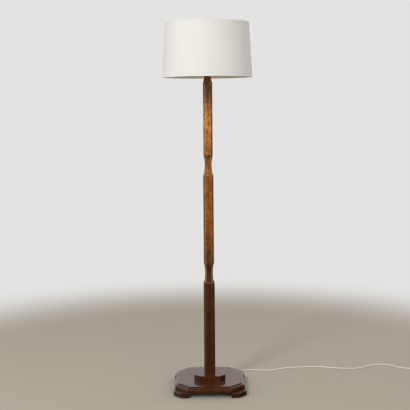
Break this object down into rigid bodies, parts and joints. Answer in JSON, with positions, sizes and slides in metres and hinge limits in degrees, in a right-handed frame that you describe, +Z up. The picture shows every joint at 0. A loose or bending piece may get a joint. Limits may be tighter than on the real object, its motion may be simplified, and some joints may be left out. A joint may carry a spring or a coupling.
{
  "type": "candlestick floor lamp",
  "caption": "Floor lamp: a square wooden post with waisted necks on an octagonal base with corner feet, a drum fabric shade and a white flex with a plug.",
  "frame": {"origin": "on the floor under the middle of the post", "axes": "+Z up along the post, -Y towards the front, the flex runs off behind and to +X"},
  "size_m": [1.4315, 0.5056, 1.6562],
  "materials": {
    "upper_wood": "glossy varnish",
    "middle_wood": "glossy varnish",
    "lower_wood": "glossy varnish",
    "base_wood": "glossy varnish",
    "steel": "zinc plated",
    "brass": "satin",
    "white_plastic": "satin",
    "core_plastic": "matte",
    "grey_plastic": "matte",
    "bulb_metal": "satin",
    "opal_glass": "frosted inside",
    "wire_paint": "white powder coat",
    "shade_fabric": "off-white weave on a stiff liner",
    "white_flex": "smooth",
    "brown_core": "smooth",
    "blue_core": "smooth"
  },
  "bodies": {
    "lamp": {"base_plate": "base_wood", "collar_block": "base_wood", "front_left_foot": "base_wood", "front_right_foot": "base_wood", "rear_left_foot": "base_wood", "rear_right_foot": "base_wood", "lower_post": "lower_wood", "middle_post": "middle_wood", "upper_post": "upper_wood", "foot_screws": "steel", "collar_screws": "steel", "clamp_screws": "steel", "pole_tube": "steel", "tube_washer": "steel", "tube_nut": "steel", "check_plate": "brass", "holder_cap": "white_plastic", "holder_barrel": "white_plastic", "holder_core": "core_plastic", "bayonet_sleeve": "brass", "inner_flex": "white_flex", "flex_lead": "white_flex", "flex_coil": "white_flex", "flex_tail": "white_flex", "brown_core": "brown_core", "blue_core": "blue_core", "cord_clamp": "white_plastic", "plug_body": "white_plastic", "plug_pins": "brass", "fuse_cover": "grey_plastic"},
    "shade": {"shade_spider": "wire_paint", "bottom_wire": "wire_paint", "top_wire": "wire_paint", "shade_skin": "shade_fabric", "bottom_hem": "shade_fabric", "top_hem": "shade_fabric"},
    "ring": {"shade_ring": "white_plastic"},
    "bulb": {"bulb_cap": "bulb_metal", "bulb_globe": "opal_glass"},
    "push_bar": {"switch_bar": "white_plastic"},
    "plunger_l": {"left_plunger": "brass"},
    "plunger_r": {"right_plunger": "brass"}
  },
  "joints": [
    {"name": "shade_turn", "type": "hinge", "parent": "lamp", "child": "shade", "pos_m": [0, 0, 1.4628], "axis": [0, 0, 1], "continuous": true},
    {"name": "ring_turn", "type": "hinge", "parent": "lamp", "child": "ring", "pos_m": [0, 0, 1.4628], "axis": [0, 0, 1], "continuous": true},
    {"name": "bulb_twist", "type": "hinge", "parent": "lamp", "child": "bulb", "pos_m": [0, 0, 1.4817], "axis": [0, 0, 1], "range_deg": [0, 20]},
    {"name": "switch_push", "type": "slide", "parent": "lamp", "child": "push_bar", "axis": [1, 0, 0], "range_m": [0, 0.005]},
    {"name": "left_contact_press", "type": "slide", "parent": "lamp", "child": "plunger_l", "axis": [0, 0, -1], "range_m": [0, 0.002], "stiffness_N_per_m": 600, "springref_m": -0.003},
    {"name": "right_contact_press", "type": "slide", "parent": "lamp", "child": "plunger_r", "axis": [0, 0, -1], "range_m": [0, 0.002], "stiffness_N_per_m": 600, "springref_m": -0.003}
  ]
}
